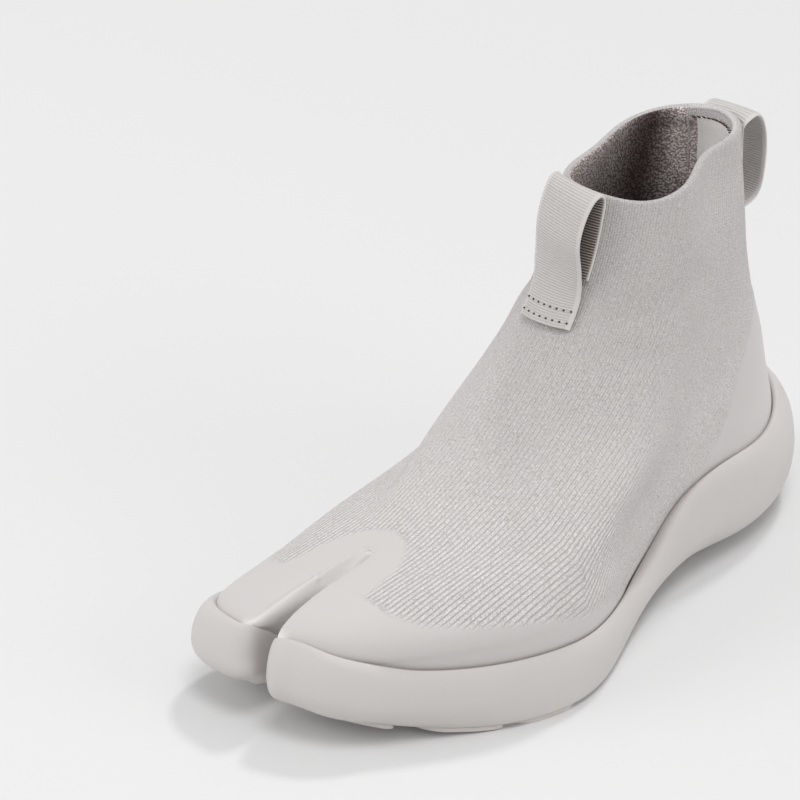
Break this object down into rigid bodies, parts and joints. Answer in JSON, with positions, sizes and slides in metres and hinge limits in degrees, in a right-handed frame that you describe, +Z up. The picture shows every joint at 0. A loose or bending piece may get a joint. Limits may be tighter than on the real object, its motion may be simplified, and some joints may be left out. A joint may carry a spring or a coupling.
{
  "type": "split-toe sock sneaker",
  "caption": "Left high-top slip-on sneaker with a split toe: hollow knit sock upper, thick foam midsole with a waisted arch, rubber pads, insole and webbing pull loops at front and back.",
  "frame": {"origin": "centre of the bounding box, on the floor that the sole stands on", "axes": "+Z up, toe towards -Y, outer side of the foot towards +X"},
  "size_m": [0.107, 0.2715, 0.1513],
  "materials": {
    "knit": "ribbed knit, smooth film at toe and heel",
    "foam": "moulded foam, satin",
    "rubber": "moulded rubber, matt",
    "webbing": "cross-ribbed webbing",
    "lining": "matt knit"
  },
  "bodies": {
    "root": {"upper": "knit", "midsole": "foam", "insole": "lining", "pull_loop_front": "webbing", "pull_loop_rear": "webbing", "collar_patch": "webbing", "outsole_toe_inner": "rubber", "outsole_toe_outer": "rubber", "outsole_ball_front": "rubber", "outsole_ball_middle": "rubber", "outsole_ball_rear": "rubber", "outsole_heel": "rubber"}
  },
  "joints": []
}
